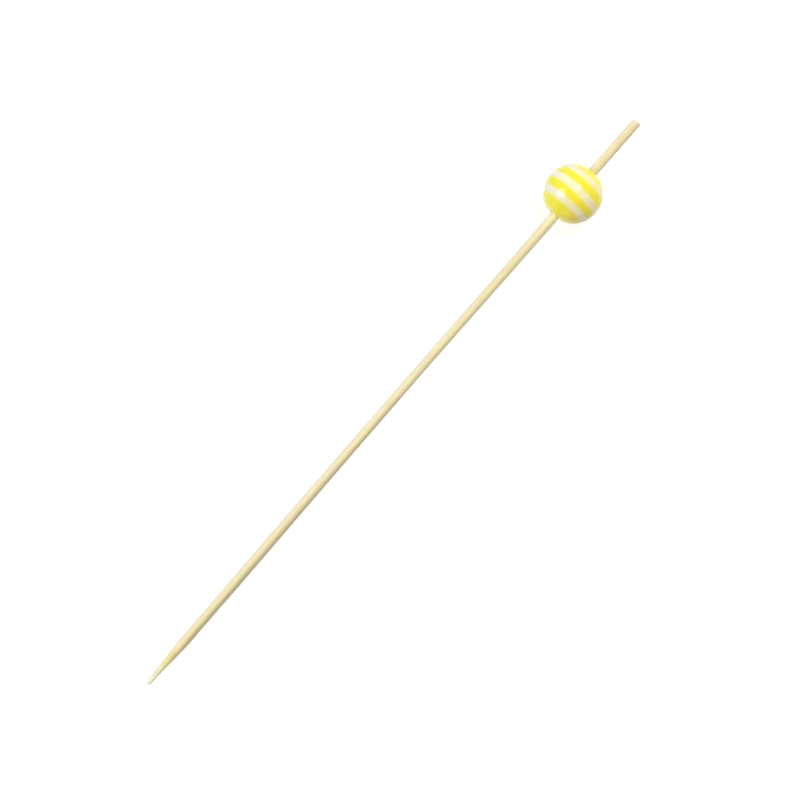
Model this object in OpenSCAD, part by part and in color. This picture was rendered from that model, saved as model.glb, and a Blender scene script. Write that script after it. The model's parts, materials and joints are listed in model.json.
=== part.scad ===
// Bamboo skewer with a striped bead near its blunt end, lying on a table.
// It rests on the bead and on the shoulder of its point.
// Sizes are in millimetres. +X runs from the point to the butt and +Z is up.
// The origin is on the table, under the middle of the skewer's box.

/* [Stick] */
// Length of the whole stick, from point to butt
stick_len = 150; // [120:1:200]
// Thickness of the stick between its point and the bead
stick_d = 2; // [1.8:0.1:3]
// How much thinner the stick is once it has passed through the bead
end_taper = 0.05; // [0:0.01:0.2]
// Length of stick left free behind the bead
stub_len = 14; // [8:0.5:25]
// Rounding of the edge of the cut butt
butt_round = 0.25; // [0.1:0.05:0.5]

/* [Point] */
// Length of the sharpened point, with its shoulder
point_len = 11.6; // [10:0.2:18]
// Thickness of the blunt tip
tip_d = 0.9; // [0.4:0.05:1.2]
// Radius of the soft shoulder between the point's cone and the stick
shoulder_r = 30; // [10:1:35]

/* [Bead] */
// Diameter of the bead
bead_d = 12; // [11:0.5:16]
// How deep the flat around each end of the hole cuts into the bead
flat_depth = 0.3; // [0.2:0.05:0.5]
// Room for glue around the stick in the bead's hole
glue_gap = 0.03; // [0.02:0.01:0.08]
// Bevel at each mouth of the hole
hole_bevel = 0.15; // [0.05:0.05:0.3]

/* [Stripes] */
// Width of the middle white stripe
stripe_w = 1.6; // [1.2:0.1:2]
// How much wider each white stripe is than its neighbour on the side of the point
stripe_step = 0.2; // [0:0.05:0.3]
// Width of the yellow between two white stripes
yellow_w = 1.7; // [1.3:0.1:2]
// How far the middle stripe sits from the bead's middle, towards the butt
stripe_shift = 0.1; // [-0.3:0.05:0.3]
// Depth to which the white goes into the bead
stripe_depth = 0.4; // [0.2:0.05:0.8]

/* [Hidden] */
STRIPES = ["stripe_point_side", "stripe_middle", "stripe_butt_side"];

bamboo_colour = [0.93, 0.87, 0.68];
yellow_colour = [0.98, 0.91, 0.2];
white_colour = [0.97, 0.95, 0.86];

stick_r = stick_d / 2;
end_r = stick_r - end_taper / 2;
tip_r = tip_d / 2;
bead_r = bead_d / 2;
hole_r = stick_r + glue_gap;

// Heights along the stick, counted from the point
flat_h = bead_r - flat_depth;
bead_to = stick_len - stub_len;
bead_mid = bead_to - flat_h;
bead_from = bead_mid - flat_h;

// The point's cone meets the round of the tip and the shoulder without a corner, which sets its slope
shoulder_off = shoulder_r - stick_r;
tip_to_shoulder = point_len - tip_r;
cone_angle = atan2(tip_to_shoulder, shoulder_off)
    - acos((shoulder_r - tip_r) / norm([tip_to_shoulder, shoulder_off]));

// The skewer leans on its bead until its shoulder or its tip meets the table, whichever does so first
bead_past_point = bead_mid - point_len;
lean_on_shoulder = acos((shoulder_r - bead_r) / norm([bead_past_point, shoulder_off]))
    - atan2(bead_past_point, shoulder_off);
lean_on_tip = asin((bead_r - tip_r) / (bead_mid - tip_r));
lean = min(lean_on_shoulder, lean_on_tip);

// How far the lying skewer reaches from under the bead's middle, to the point and to the butt
reach_point = (bead_mid - tip_r) * cos(lean) + tip_r;
reach_butt = (stick_len - butt_round - bead_mid) * cos(lean)
    + (end_r - butt_round) * sin(lean) + butt_round;
bead_x = (reach_point - reach_butt) / 2;

// White stripes, counted from the point side: their widths, and their middles above the bead's own
middle = 1;
function stripe_width(i) = stripe_w + stripe_step * (i - middle);
function stripe_height(i) = stripe_shift + (i - middle) * (stripe_w / 2 + yellow_w + stripe_width(i) / 2);

// Steps around a circle and along each arc of the stick's outline
$fn = 96;
arc_steps = 16;
// What cuts is drawn this much larger than what it cuts
cut = 1;

// Points along an arc, with both its ends
function arc(centre, r, from, to) =
    [for (i = [0 : arc_steps]) let (a = from + (to - from) * i / arc_steps) centre + r * [cos(a), sin(a)]];

// Puts what is drawn along +Z from the point where it lies on the table
module lying() {
    translate([bead_x, 0, bead_r])
        rotate([0, 90 - lean, 0])
            translate([0, 0, -bead_mid])
                children();
}

module stick() {
    // Half the stick's outline: its tip, its shoulder, its shaft, its end in the bead and its butt
    outline = concat(
        arc([0, tip_r], tip_r, -90, -cone_angle),
        arc([-shoulder_off, point_len], shoulder_r, -cone_angle, 0),
        [[stick_r, bead_from], [end_r, bead_to]],
        arc([end_r - butt_round, stick_len - butt_round], butt_round, 0, 90),
        [[0, stick_len]]
    );
    color(bamboo_colour)
        lying()
            rotate_extrude()
                polygon(outline);
}

// Half the outline of the bead's hole, with a bevel at each mouth
module hole_outline() {
    bevel_h = flat_h - hole_bevel;
    mouth_r = hole_r + hole_bevel + cut;
    mouth_h = flat_h + cut;
    polygon([
        [0, -mouth_h],
        [mouth_r, -mouth_h],
        [hole_r, -bevel_h],
        [hole_r, bevel_h],
        [mouth_r, mouth_h],
        [0, mouth_h],
    ]);
}

// Half the outline of the groove that a white stripe fills
module groove_outline(i) {
    difference() {
        translate([0, stripe_height(i) - stripe_width(i) / 2])
            square([bead_r + cut, stripe_width(i)]);
        circle(r = bead_r - stripe_depth);
    }
}

module bead() {
    color(yellow_colour)
        lying()
            translate([0, 0, bead_mid])
                rotate_extrude()
                    difference() {
                        intersection() {
                            circle(r = bead_r);
                            translate([0, -flat_h]) square([bead_r + cut, 2 * flat_h]);
                        }
                        hole_outline();
                        for (i = [0 : len(STRIPES) - 1]) groove_outline(i);
                    }
}

module stripe(i) {
    color(white_colour)
        lying()
            translate([0, 0, bead_mid])
                rotate_extrude()
                    intersection() {
                        circle(r = bead_r);
                        groove_outline(i);
                    }
}

stick();
bead();
for (i = [0 : len(STRIPES) - 1]) {
    stripe(i);
}
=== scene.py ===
"""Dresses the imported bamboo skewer: its stick, its striped bead, a pale floor, studio light and the camera.

The stick and the bead are drawn in millimetres along the stick, with X counted from the bead's middle
towards the butt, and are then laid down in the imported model's frame, in metres."""

import json
import math

import bpy
import numpy as np
from mathutils import Matrix, Vector, noise


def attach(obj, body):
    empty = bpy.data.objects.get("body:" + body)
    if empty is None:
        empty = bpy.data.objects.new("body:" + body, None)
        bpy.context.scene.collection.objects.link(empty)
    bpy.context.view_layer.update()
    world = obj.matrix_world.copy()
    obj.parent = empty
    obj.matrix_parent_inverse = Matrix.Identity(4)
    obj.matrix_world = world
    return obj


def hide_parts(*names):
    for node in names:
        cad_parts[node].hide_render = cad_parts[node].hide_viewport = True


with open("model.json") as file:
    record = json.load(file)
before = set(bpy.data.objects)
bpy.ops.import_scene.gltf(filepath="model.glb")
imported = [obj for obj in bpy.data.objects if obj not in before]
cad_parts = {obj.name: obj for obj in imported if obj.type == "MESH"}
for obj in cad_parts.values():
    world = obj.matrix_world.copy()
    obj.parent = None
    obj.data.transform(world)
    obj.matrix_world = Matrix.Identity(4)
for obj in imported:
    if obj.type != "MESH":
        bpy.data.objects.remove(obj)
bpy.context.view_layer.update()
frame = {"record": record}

# Where the skewer lies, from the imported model's mounts
MM = 0.001
mounts = {mount["name"]: mount for mount in frame["record"]["mounts"]}
bead_stop = mounts["bead_stop"]
along = -Vector(bead_stop["axis"])
lean = math.asin(along.z)

# Sizes of the stick, in millimetres
STICK_LEN = 150.0
STICK_R = mounts["shaft"]["dims"]["r_mm"]
END_R = 0.975
STUB_LEN = 14.0
BUTT_ROUND = 0.25
POINT_LEN = 11.6
TIP_R = 0.45
SHOULDER_R = 30.0

# Sizes of the bead, in millimetres
BEAD_R = 6.0
FLAT_DEPTH = 0.3
FLAT_SOFT = 0.5
GLUE_GAP = 0.03
HOLE_R = STICK_R + GLUE_GAP
HOLE_BEVEL = 0.15
# The hole's wall has rings this far in from its bevel and from the flat, at both ends
EDGE_RING = 0.03
WALL_RING = 1.0

# White stripes, in millimetres: the widths from the point side on, the yellow between them, and how far the
# middle one is from the bead's middle
YELLOW_W = 1.7
STRIPE_SHIFT = 0.1
STRIPE_WIDTHS = (1.4, 1.65, 1.5)
# Their edges: how soft and how wavy
STRIPE_SOFT = 0.3
STRIPE_WAVE = 0.09
# How the real stripes stray from true rings across the bead: each one leans and bends, and all taper
STRIPE_LEANS = (0.012, 0.032, 0.018)
STRIPE_BENDS = (0.011, 0.0, 0.0)
STRIPE_TAPER = 0.004

FLAT_H = BEAD_R - FLAT_DEPTH
BEAD_MID = STICK_LEN - STUB_LEN - FLAT_H
BUTT_X = STICK_LEN - BEAD_MID
bead_centre = Vector(bead_stop["pos_m"]) + along * FLAT_H * MM
lying = Matrix.Translation(bead_centre) @ Matrix.Rotation(-lean, 4, "Y") @ Matrix.Scale(MM, 4)

# How the real stick strays from a true pin, at places from the point in millimetres: how far it bows to the
# side in millimetres, and its thickness as a share
BOW = (
    (0, -0.03), (16, -0.03), (40, 0.08), (65, 0.12), (92, 0.09), (110, -0.05), (125, -0.08), (136, -0.1),
    (150, -0.2),
)
THICKNESS = (
    (0, 0.97), (1.5, 1.02), (3, 1.01), (4.5, 0.96), (6, 0.96), (8.5, 1.01), (11, 1), (16, 0.99), (28, 1.02),
    (42, 1.02), (54, 0.98), (66, 0.955), (104, 0.955), (118, 1), (124, 1), (126, 0.94), (134, 0.94),
    (136, 0.99), (140, 1), (146, 0.995), (150, 0.985),
)
# Its relief: how long and how wide each kind of unevenness is, and how high, in millimetres
RELIEF = ((35, 1.3, 0.02), (12, 0.4, 0.012), (5, 0.16, 0.005))

STICK_SEGMENTS = 96
BEAD_SEGMENTS = 192
BEAD_RINGS = 150
# Edges of the bead that turn by more than this are shaded sharp
SHARP_ANGLE = math.radians(50)
# Free border of each strip on a piece's map, as a share of the map
MAP_MARGIN = 0.012


def smoothed(x, table):
    """The value at x on a smooth curve through a table of (place, value)."""
    places, values = np.array(table, float).T
    slopes = np.gradient(values, places)
    i = min(max(int(np.searchsorted(places, x)) - 1, 0), len(places) - 2)
    step = places[i + 1] - places[i]
    t = min(max((x - places[i]) / step, 0.0), 1.0)
    rise = t * t * (3 - 2 * t)
    bend = step * t * (1 - t) * (slopes[i] * (1 - t) - slopes[i + 1] * t)
    return values[i] + (values[i + 1] - values[i]) * rise + bend


def stick_outline():
    """(distance from the point, radius) along the stick's outline, from the tip to the butt's middle. The
    places are about 0.3 mm apart on the shaft, wider inside the bead, and closer on the point and edges."""
    off, run = SHOULDER_R - STICK_R, POINT_LEN - TIP_R
    slope = math.atan2(run, off) - math.acos((SHOULDER_R - TIP_R) / math.hypot(run, off))
    tip = [
        (TIP_R * (1 - math.cos(a)), TIP_R * math.sin(a)) for a in np.linspace(0.2, math.pi / 2 - slope, 9)
    ]
    shoulder = [
        (POINT_LEN - SHOULDER_R * math.sin(a), STICK_R - SHOULDER_R * (1 - math.cos(a)))
        for a in np.linspace(slope, 0, 14)
    ]
    cone = [tuple(p) for p in np.linspace(tip[-1], shoulder[0], 62)[1:-1]]
    bead_from, bead_to = BEAD_MID - FLAT_H, BEAD_MID + FLAT_H
    shaft = [(h, STICK_R) for h in np.linspace(POINT_LEN, bead_from, 380)[1:]]
    inside = [(h, STICK_R + (END_R - STICK_R) * (h - bead_from) / (bead_to - bead_from))
              for h in np.linspace(bead_from, bead_to, 24)[1:]]
    stub = [(h, END_R) for h in np.linspace(bead_to, STICK_LEN - BUTT_ROUND, 46)[1:]]
    edge = [
        (STICK_LEN - BUTT_ROUND * (1 - math.sin(a)), END_R - BUTT_ROUND * (1 - math.cos(a)))
        for a in np.linspace(0, math.pi / 2, 9)[1:]
    ]
    face = [(STICK_LEN, r) for r in np.linspace(END_R - BUTT_ROUND, 0.05, 12)[1:]]
    return tip + cone + shoulder + shaft + inside + stub + edge + face


def bead_outline():
    """(X, radius) along the bead's outline, from one mouth of the hole over the round to the other mouth."""
    mouth_r = HOLE_R + HOLE_BEVEL
    start = math.atan2(mouth_r + 0.02, FLAT_H)
    outer = []
    for a in np.linspace(start, math.pi - start, BEAD_RINGS):
        to_flat = FLAT_H / max(abs(math.cos(a)), 1e-6)
        reach = min(BEAD_R, to_flat)
        gap = abs(BEAD_R - to_flat)
        reach -= max(0.0, FLAT_SOFT - gap) ** 2 / (4 * FLAT_SOFT)
        outer.append((-reach * math.cos(a), reach * math.sin(a)))
    bevel = [(FLAT_H - HOLE_BEVEL * t, mouth_r - HOLE_BEVEL * t) for t in (0.08, 0.35, 0.65, 0.92)]
    wall = [(FLAT_H - HOLE_BEVEL - EDGE_RING, HOLE_R), (FLAT_H - WALL_RING, HOLE_R)]
    mouth = bevel + wall
    return [(-x, r) for x, r in reversed(mouth)] + outer + mouth


def travelled(outline):
    """How far along the outline each of its points is."""
    steps = np.hypot(*np.diff(np.array(outline), axis=0).T)
    return np.concatenate(([0.0], np.cumsum(steps)))


def turned_mesh(name, rings, travel, strips=1, ends=None):
    """A smooth mesh through rings of points. Its two ends close in a point each, or on each other if ends
    is None. Its map holds the surface unrolled and cut into strips, which lie side by side."""
    count, around = rings.shape[:2]
    verts = rings.reshape(-1, 3).tolist()
    rows = [(i, (i + 1) % count) for i in range(count if ends is None else count - 1)]
    faces, corners = [], []
    reach = travel[-1] / strips
    inner = 1 - 2 * MAP_MARGIN

    def on_map(strip, distance, turn):
        u = MAP_MARGIN + inner * turn / around
        v = MAP_MARGIN + inner * (distance / reach - strip)
        return (strip + u) / strips, v

    for a, b in rows:
        far = travel[b] if b else travel[-1]
        strip = min(int((travel[a] + far) / 2 / reach), strips - 1)
        for j in range(around):
            k = (j + 1) % around
            faces.append((a * around + j, a * around + k, b * around + k, b * around + j))
            corners += [on_map(strip, travel[a], j), on_map(strip, travel[a], j + 1)]
            corners += [on_map(strip, far, j + 1), on_map(strip, far, j)]
    for ring, point in zip((0, count - 1), ends or ()):
        middle = len(verts)
        verts.append(list(point))
        strip = 0 if ring == 0 else strips - 1
        for j in range(around):
            k = (j + 1) % around
            pair = (k, j) if ring == 0 else (j, k)
            faces.append((middle, ring * around + pair[0], ring * around + pair[1]))
            steps = (j + 1, j) if ring == 0 else (j, j + 1)
            beyond = travel[ring] + (-0.05 if ring == 0 else 0.05)
            corners += [on_map(strip, beyond, j + 0.5)] + [on_map(strip, travel[ring], s) for s in steps]
    mesh = bpy.data.meshes.new(name)
    mesh.from_pydata(verts, [], faces)
    layer = mesh.uv_layers.new(name="OFBake")
    layer.uv.foreach_set("vector", np.array(corners, np.float32).ravel())
    mesh.transform(lying)
    mesh.shade_smooth()
    mesh.validate()
    made = bpy.data.objects.new(name, mesh)
    bpy.context.scene.collection.objects.link(made)
    return made


def relief(x, y, z):
    """How far the wood stands out at a place: long facets, ridges and fibres that run along the stick."""
    height = 0.0
    for seed, (length, width, amount) in enumerate(RELIEF):
        height += amount * noise.noise(Vector((x / length + 7.3 * seed, y / width, z / width)))
    return height


def make_stick():
    outline = stick_outline()
    flow = np.gradient(np.array(outline), axis=0)
    flow /= np.linalg.norm(flow, axis=1)[:, None]
    rings = np.zeros((len(outline), STICK_SEGMENTS, 3))
    for i, ((h, r), (run, rise)) in enumerate(zip(outline, flow)):
        r *= smoothed(h, THICKNESS)
        side = smoothed(h, BOW)
        for j in range(STICK_SEGMENTS):
            turn = 2 * math.pi * j / STICK_SEGMENTS
            y, z = math.cos(turn), math.sin(turn)
            out = relief(h, r * y, r * z) * min(1.0, r / STICK_R + 0.2)
            radius = r + out * run
            rings[i, j] = (h - out * rise - BEAD_MID, radius * y + side, radius * z)
    ends = [rings[0].mean(0) - (0.006, 0, 0), rings[-1].mean(0)]
    return turned_mesh("bamboo_stick", rings, travelled(outline), strips=3, ends=ends)


def make_bead():
    outline = bead_outline()
    turns = np.arange(BEAD_SEGMENTS) * 2 * math.pi / BEAD_SEGMENTS
    rings = np.array([[(x, r * math.cos(t), r * math.sin(t)) for t in turns] for x, r in outline])
    made = turned_mesh("striped_bead", rings, travelled(outline))
    made.data.set_sharp_from_angle(angle=SHARP_ANGLE)
    return made


# Node trees are built with these few helpers
def node(tree, kind, inputs=None, **settings):
    made = tree.nodes.new("ShaderNode" + kind)
    for name, value in settings.items():
        setattr(made, name, value)
    for name, value in (inputs or {}).items():
        if isinstance(value, bpy.types.NodeSocket):
            tree.links.new(value, made.inputs[name])
        else:
            made.inputs[name].default_value = value
    return made


def maths(tree, operation, *values, clamp=False):
    return node(tree, "Math", dict(enumerate(values)), operation=operation, use_clamp=clamp).outputs[0]


def mixed(tree, factor, a, b, blend="MIX"):
    # A Mix node's colours are its inputs 6 and 7, and its mixed colour is its output 2
    inputs = {0: factor, 6: a, 7: b}
    return node(tree, "Mix", inputs, data_type="RGBA", blend_type=blend).outputs[2]


def spread(tree, value, low, high, to_low, to_high):
    inputs = {"Value": value, "From Min": low, "From Max": high, "To Min": to_low, "To Max": to_high}
    return node(tree, "MapRange", inputs, interpolation_type="SMOOTHSTEP").outputs[0]


def ramp(tree, factor, stops):
    made = node(tree, "ValToRGB", {"Fac": factor})
    elements = made.color_ramp.elements
    while len(elements) < len(stops):
        elements.new(0.5)
    for element, (place, colour) in zip(elements, stops):
        element.position = place
        element.color = (*colour, 1)
    return made.outputs["Color"]


def place_on_skewer(tree):
    """Millimetres along and across the stick, from the bead's middle."""
    spot = node(tree, "TexCoord").outputs["Object"]
    inputs = {"Vector": spot, "Location": bead_centre, "Rotation": (0, -lean, 0), "Scale": (MM, MM, MM)}
    return node(tree, "Mapping", inputs, vector_type="TEXTURE").outputs[0]


def scaled(tree, vector, lengthwise, across):
    """The place in a pattern whose features are so long and so wide, in millimetres."""
    inputs = {0: vector, 1: (1 / lengthwise, 1 / across, 1 / across)}
    return node(tree, "VectorMath", inputs, operation="MULTIPLY").outputs[0]


def clouds(tree, vector, detail=2.0, roughness=0.5):
    inputs = {"Vector": vector, "Scale": 1.0, "Detail": detail, "Roughness": roughness}
    return node(tree, "TexNoise", inputs).outputs[0]


def new_material(name, slot):
    """An empty material with its shader. The slot argument, the record's slot it stands for, is not used."""
    material = bpy.data.materials.new(name)
    material.use_nodes = True
    tree = material.node_tree
    tree.nodes.clear()
    shader = node(tree, "BsdfPrincipled")
    output = node(tree, "OutputMaterial")
    tree.links.new(shader.outputs[0], output.inputs["Surface"])
    return material, tree, shader


# Colours of the bamboo, as linear light
STRAW_WARM = (0.868, 0.727, 0.447, 1)
STRAW_GREEN = (0.83, 0.762, 0.388, 1)
# Painted sheen: the paler colour of the stick's side where the lamps fall, and paler still near the butt
STICK_PAINTED_SHEEN = (0.82, 0.775, 0.63, 1)
STICK_PAINTED_SHEEN_AT_BUTT = (0.83, 0.795, 0.72, 1)
# Painted highlight: the paler colour of the butt's last millimetre, where its rounded end catches the light
BUTT_PAINTED_HIGHLIGHT = (0.9, 0.81, 0.57, 1)
# Painted shade: this colour multiplies and darkens the stick's side away from the lamps
STICK_PAINTED_SHADE = (0.755, 0.74, 0.75, 1)
BUNDLE = (0.72, 0.54, 0.26, 1)
VESSEL = (0.33, 0.22, 0.11, 1)
# Colours of the cut point, at places from the tip as shares of the point's length
CUT_COLOURS = (
    (0.0, (0.93, 0.93, 0.7)), (0.2, (0.85, 0.815, 0.54)), (0.34, (0.83, 0.78, 0.43)),
    (0.47, (0.82, 0.755, 0.31)), (0.6, (0.84, 0.685, 0.26)), (0.74, (0.875, 0.72, 0.33)),
    (0.9, (0.91, 0.77, 0.44)),
)
# Patterns in the wood: how long and how wide their features are, in millimetres
TONES = (3.5, 0.9)
BUNDLES = (45, 0.42)
FIBRES = (7, 0.085)
FLECKS = (1.6, 0.12)
FIBRE_HEIGHT = 0.02 * MM
WOOD_ROUGHNESS = (0.62, 0.5)
# Where the open cut of the point ends, give or take, and how far fibres make that edge ragged
CUT_EDGE = 2
CUT_RAGGED = 3.0


def bamboo():
    """Straw-coloured wood with long bundles of fibre, which show as streaks on the side and as dots on the
    butt. Its side where the lamps fall is paler, a painted sheen, which is palest near the butt. Its other
    side, away from the lamps, is darker from behind the point on, a painted shade that fades towards the
    bead. Its last millimetre is paler, a painted highlight on the butt's rounded end."""
    material, tree, shader = new_material("bamboo_wood", "bamboo")
    place = place_on_skewer(tree)
    x, y, _ = node(tree, "SeparateXYZ", {0: place}).outputs
    from_point = maths(tree, "ADD", x, BEAD_MID)

    tone = clouds(tree, scaled(tree, place, *TONES), 3.0, 0.6)
    straw = mixed(tree, spread(tree, tone, 0.4, 0.6, 0, 1), STRAW_WARM, STRAW_GREEN)

    bundle_places = scaled(tree, place, *BUNDLES)
    cells = node(tree, "TexVoronoi", {"Vector": bundle_places, "Scale": 1.0}).outputs["Distance"]
    bundles = spread(tree, cells, 0.18, 0.42, 1, 0)
    vessels = spread(tree, cells, 0.04, 0.12, 1, 0)
    fibres = clouds(tree, scaled(tree, place, *FIBRES), 3.0, 0.6)
    flecks = clouds(tree, scaled(tree, place, *FLECKS), 2.0)

    butt = spread(tree, x, BUTT_X - 0.2, BUTT_X - 0.03, 0, 1)
    streaks = maths(tree, "MULTIPLY", bundles, spread(tree, fibres, 0.3, 0.7, 0.12, 0.5))
    dots = maths(tree, "MULTIPLY", bundles, maths(tree, "MULTIPLY", butt, 0.8))
    shown = maths(tree, "MAXIMUM", streaks, dots)
    colour = mixed(tree, shown, straw, BUNDLE)
    colour = mixed(tree, maths(tree, "MULTIPLY", vessels, butt), colour, VESSEL)

    ragged = maths(tree, "ADD", from_point, maths(tree, "MULTIPLY", fibres, CUT_RAGGED))
    cut = spread(tree, ragged, POINT_LEN - CUT_EDGE, POINT_LEN + CUT_EDGE, 1, 0)
    ground = ramp(tree, maths(tree, "DIVIDE", from_point, POINT_LEN), CUT_COLOURS)
    open_fibres = maths(tree, "MULTIPLY", cut, spread(tree, fibres, 0.3, 0.6, 0.6, 1.0))
    colour = mixed(tree, open_fibres, colour, ground)
    thickness = maths(tree, "MULTIPLY_ADD", from_point, (STICK_R - TIP_R) / POINT_LEN, TIP_R)
    sideways = maths(tree, "DIVIDE", y, maths(tree, "MINIMUM", thickness, STICK_R))
    # Painted sheen: the stick's side where the lamps fall is paler, more so near the butt
    inner = mixed(tree, spread(tree, from_point, 120, 138, 0, 1), STICK_PAINTED_SHEEN, STICK_PAINTED_SHEEN_AT_BUTT)
    colour = mixed(tree, spread(tree, sideways, -0.1, 1.1, 0, 0.9), colour, inner)
    # Painted highlight: the butt's last millimetre is paler
    colour = mixed(tree, spread(tree, x, BUTT_X - 1.2, BUTT_X - 0.2, 0, 0.7), colour, BUTT_PAINTED_HIGHLIGHT)
    # Painted shade: the side away from the lamps is darker from behind the point on, and less so towards the
    # bead
    painted_shade = spread(tree, sideways, -0.9, 0.1, 1, 0)
    painted_shade = maths(tree, "MULTIPLY", painted_shade, spread(tree, from_point, 2, 13, 0, 1))
    painted_shade = maths(tree, "MULTIPLY", painted_shade, spread(tree, from_point, 30, 130, 1, 0.15))
    colour = mixed(tree, painted_shade, colour, STICK_PAINTED_SHADE, "MULTIPLY")

    grain = spread(tree, fibres, 0.25, 0.75, 0.91, 1.07)
    dark = spread(tree, flecks, 0.66, 0.78, 1.0, 0.86)
    shade = maths(tree, "MULTIPLY", grain, dark)
    grey = node(tree, "CombineColor", {0: shade, 1: shade, 2: shade}).outputs[0]
    colour = mixed(tree, 1.0, colour, grey, "MULTIPLY")
    tree.links.new(colour, shader.inputs["Base Color"])

    rough = spread(tree, fibres, 0.3, 0.7, *WOOD_ROUGHNESS)
    tree.links.new(rough, shader.inputs["Roughness"])
    height = maths(tree, "SUBTRACT", fibres, maths(tree, "MULTIPLY", bundles, 0.4))
    bump = node(tree, "Bump", {"Strength": 0.6, "Distance": FIBRE_HEIGHT, "Height": height})
    tree.links.new(bump.outputs[0], shader.inputs["Normal"])
    shader.inputs["Specular IOR Level"].default_value = 0.4
    shader.inputs["Sheen Weight"].default_value = 0.3
    shader.inputs["Sheen Roughness"].default_value = 0.4
    return material


# Colours of the bead, as linear light, and how light spreads inside its resin
YELLOW = (0.985, 0.865, 0.03, 1)
YELLOW_DEEP = (0.975, 0.79, 0.016, 1)
WHITE = (0.98, 0.905, 0.67, 1)
WHITE_WARM = (0.97, 0.825, 0.41, 1)
# How fast the deeper colours gain on the others across the bead, as painted shade towards its side away from
# the lamps, and towards the butt, per millimetre
BEAD_PAINTED_SHADE = 0.035
DEEPER_END = 0.03
MILKY = 0.6
LIGHT_REACH = (1.0, 0.82, 0.5)
LIGHT_REACH_SCALE = 3.5 * MM
# Patterns in the resin: how large their features are, in millimetres
WAVES = 2.5
CLOUDS = 1.8
WEAR = 0.9
RIPPLES = 1.1
RIPPLE_HEIGHT = 0.01 * MM
RESIN_ROUGHNESS = (0.2, 0.32)
COAT_ROUGHNESS = 0.15


def stripe_edges():
    """Where white starts and ends, in millimetres from the bead's middle."""
    low, middle, high = STRIPE_WIDTHS
    starts = (
        STRIPE_SHIFT - middle / 2 - YELLOW_W - low,
        STRIPE_SHIFT - middle / 2,
        STRIPE_SHIFT + middle / 2 + YELLOW_W,
    )
    return [(start, start + width) for start, width in zip(starts, STRIPE_WIDTHS)]


def bead_resin():
    """Glossy milky resin, yellow with white stripes across the hole, which have slightly soft, wavy edges.
    Both colours are deeper in clouds and, as painted shade, on the side away from the lamps; the white is
    also deeper towards the butt."""
    material, tree, shader = new_material("bead_resin", "bead_yellow")
    place = place_on_skewer(tree)
    waves = maths(tree, "SUBTRACT", clouds(tree, scaled(tree, place, WAVES, WAVES)), 0.5)
    x, y, _ = node(tree, "SeparateXYZ", {0: place}).outputs
    x = maths(tree, "MULTIPLY_ADD", waves, STRIPE_WAVE, x)
    y_squared = maths(tree, "MULTIPLY", y, y)
    taper = maths(tree, "MULTIPLY_ADD", y_squared, -STRIPE_TAPER, 1.0)
    stripes = 0.0
    for (start, end), stripe_lean, bend in zip(stripe_edges(), STRIPE_LEANS, STRIPE_BENDS):
        middle = maths(tree, "MULTIPLY_ADD", y_squared, bend, (start + end) / 2)
        middle = maths(tree, "MULTIPLY_ADD", y, stripe_lean, middle)
        off_middle = maths(tree, "ABSOLUTE", maths(tree, "SUBTRACT", x, middle))
        beyond = maths(tree, "MULTIPLY_ADD", taper, -(end - start) / 2, off_middle)
        stripe = spread(tree, beyond, -STRIPE_SOFT / 2, STRIPE_SOFT / 2, 1, 0)
        stripes = maths(tree, "ADD", stripe, stripes)
    clouds_and_shade = clouds(tree, scaled(tree, place, CLOUDS, CLOUDS), 3.0)
    # Painted shade: the colours deepen towards the bead's side away from the lamps
    clouds_and_shade = maths(tree, "MULTIPLY_ADD", y, -BEAD_PAINTED_SHADE, clouds_and_shade)
    towards_butt = maths(tree, "MULTIPLY_ADD", x, DEEPER_END, clouds_and_shade)
    yellow = mixed(tree, spread(tree, clouds_and_shade, 0.35, 0.7, 0, 1), YELLOW, YELLOW_DEEP)
    white = mixed(tree, spread(tree, towards_butt, 0.35, 0.7, 0, 1), WHITE, WHITE_WARM)
    tree.links.new(mixed(tree, stripes, yellow, white), shader.inputs["Base Color"])

    worn = clouds(tree, scaled(tree, place, WEAR, WEAR), 4.0, 0.65)
    tree.links.new(spread(tree, worn, 0.3, 0.75, *RESIN_ROUGHNESS), shader.inputs["Roughness"])
    ripple = clouds(tree, scaled(tree, place, RIPPLES, RIPPLES), 1.0)
    bump = node(tree, "Bump", {"Strength": 0.5, "Distance": RIPPLE_HEIGHT, "Height": ripple})
    tree.links.new(bump.outputs[0], shader.inputs["Normal"])
    shader.inputs["Subsurface Weight"].default_value = MILKY
    shader.inputs["Subsurface Radius"].default_value = LIGHT_REACH
    shader.inputs["Subsurface Scale"].default_value = LIGHT_REACH_SCALE
    shader.inputs["Specular IOR Level"].default_value = 0.05
    shader.inputs["Coat Weight"].default_value = 0.8
    shader.inputs["Coat IOR"].default_value = 1.6
    shader.inputs["Coat Roughness"].default_value = COAT_ROUGHNESS
    return material


stick = make_stick()
stick.data.materials.append(bamboo())
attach(stick, "root")
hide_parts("stick")

bead = make_bead()
bead.data.materials.append(bead_resin())
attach(bead, "root")
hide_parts("bead", "stripe_point_side", "stripe_middle", "stripe_butt_side")

# The camera, which looks down on the skewer with the point at the lower left and the bead at the upper right
CAMERA_LENS = 300.0
SENSOR = 36.0
CAMERA_AZIMUTH = math.radians(-49.65)
CAMERA_ELEVATION = math.radians(74.34)
CAMERA_DISTANCE = 1332.8 * MM
# Middle of the picture, from the bead's middle: to the right and up in the picture
PICTURE_RIGHT = -34.6 * MM
PICTURE_UP = -41.2 * MM

back = Vector((
    math.sin(CAMERA_AZIMUTH) * math.cos(CAMERA_ELEVATION),
    -math.cos(CAMERA_AZIMUTH) * math.cos(CAMERA_ELEVATION),
    math.sin(CAMERA_ELEVATION),
))
right = Vector((math.cos(CAMERA_AZIMUTH), math.sin(CAMERA_AZIMUTH), 0))
up = back.cross(right)
looked_at = bead_centre + right * PICTURE_RIGHT + up * PICTURE_UP

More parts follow.
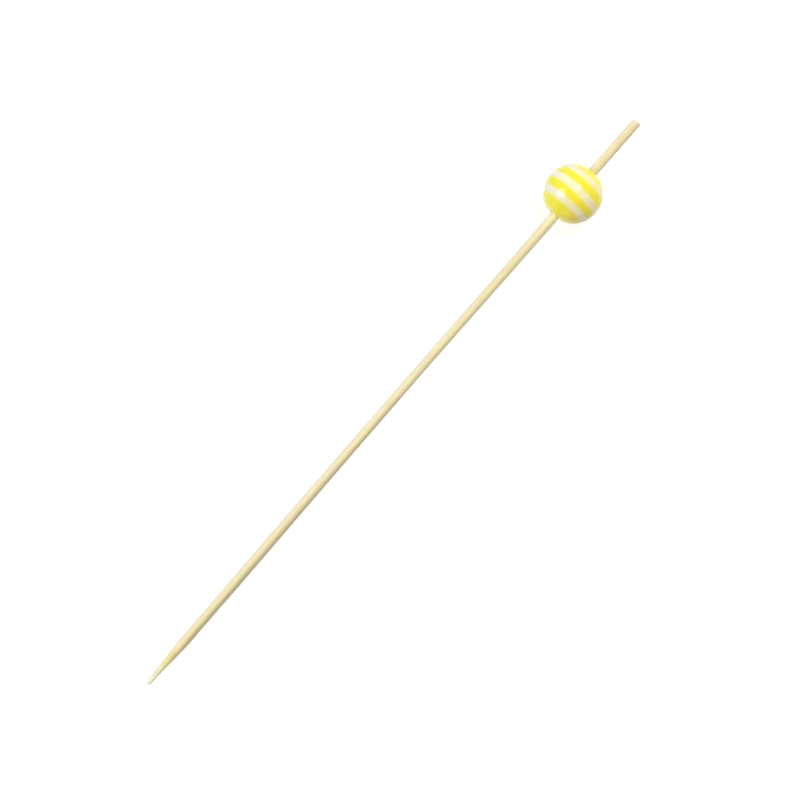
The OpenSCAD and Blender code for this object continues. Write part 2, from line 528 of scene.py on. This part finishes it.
camera_data = bpy.data.cameras.new("camera")
camera_data.lens = CAMERA_LENS
camera_data.sensor_width = SENSOR
camera_data.clip_start = 0.05
camera_data.clip_end = 50.0
camera = bpy.data.objects.new("camera", camera_data)
camera.matrix_world = Matrix.Translation(looked_at + back * CAMERA_DISTANCE) @ Matrix(
    (right, up, back)
).transposed().to_4x4()
bpy.context.scene.collection.objects.link(camera)
bpy.context.scene.camera = camera


def seen_as_background(tree):
    """1 for what the camera sees, straight or in a mirror or glass, and 0 for light that falls on things."""
    path = node(tree, "LightPath").outputs
    seen = maths(tree, "ADD", path["Is Camera Ray"], path["Is Glossy Ray"])
    return maths(tree, "ADD", seen, path["Is Transmission Ray"], clamp=True)


# Floor: grey paper, raised to white where it is seen, while it keeps the skewer's soft shadow
FLOOR_SIZE = 12.0
FLOOR_COLOUR = (0.5, 0.5, 0.5, 1)
FLOOR_GLOW = 0.56


def make_floor():
    mesh = bpy.data.meshes.new("floor")
    half = FLOOR_SIZE / 2
    corners = [(-half, -half, 0), (half, -half, 0), (half, half, 0), (-half, half, 0)]
    mesh.from_pydata(corners, [], [(0, 1, 2, 3)])
    material = bpy.data.materials.new("floor")
    material.use_nodes = True
    tree = material.node_tree
    tree.nodes.clear()
    paper = node(tree, "BsdfDiffuse", {"Color": FLOOR_COLOUR})
    strength = maths(tree, "MULTIPLY", seen_as_background(tree), FLOOR_GLOW)
    glow = node(tree, "Emission", {"Strength": strength})
    both = node(tree, "AddShader", {0: paper.outputs[0], 1: glow.outputs[0]})
    node(tree, "OutputMaterial", {"Surface": both.outputs[0]})
    mesh.materials.append(material)
    made = bpy.data.objects.new("floor", mesh)
    bpy.context.scene.collection.objects.link(made)


# World: an even white room. It gives the soft part of the light, and it is white where it is seen
SKY_LIGHT = 0.05


def make_world():
    world = bpy.data.worlds.new("room")
    bpy.context.scene.world = world
    world.use_nodes = True
    tree = world.node_tree
    tree.nodes.clear()
    strength = maths(tree, "MULTIPLY_ADD", seen_as_background(tree), 1 - SKY_LIGHT, SKY_LIGHT)
    sky = node(tree, "Background", {"Color": (1, 1, 1, 1), "Strength": strength})
    node(tree, "OutputWorld", {"Surface": sky.outputs[0]})


def make_lamp(name, way, distance, size, level, fills=False):
    """A round lamp. way is its direction from the bead as the camera sees it: right, up and towards the
    camera. level is how bright a white surface that faces it becomes. A lamp that fills only lifts the dark
    sides: it casts no shadow and isn't mirrored."""
    direction = (right * way[0] + up * way[1] + back * way[2]).normalized()
    data = bpy.data.lights.new(name, "AREA")
    data.shape = "DISK"
    data.size = size
    data.energy = level * math.pi**2 * distance**2
    lamp = bpy.data.objects.new(name, data)
    lamp.location = bead_centre + direction * distance
    lamp.rotation_euler = direction.to_track_quat("Z", "Y").to_euler()
    lamp.visible_glossy = not fills
    data.use_shadow = not fills
    bpy.context.scene.collection.objects.link(lamp)


make_floor()
make_world()
make_lamp("left_lamp", (-0.731, 0.064, 0.678), 1.4, 0.8, 0.39)
make_lamp("top_lamp", (0.3, 0.425, 0.854), 1.4, 0.6, 0.29)
make_lamp("back_fill", (0.45, 0.83, 0.33), 1.6, 1.0, 0.34, True)
make_lamp("right_fill", (0.75, 0.24, 0.6), 1.6, 1.0, 0.42, True)
make_lamp("front_fill", (-0.84, -0.2, 0.5), 1.6, 1.0, 0.36, True)

bpy.context.scene.view_settings.view_transform = "Standard"
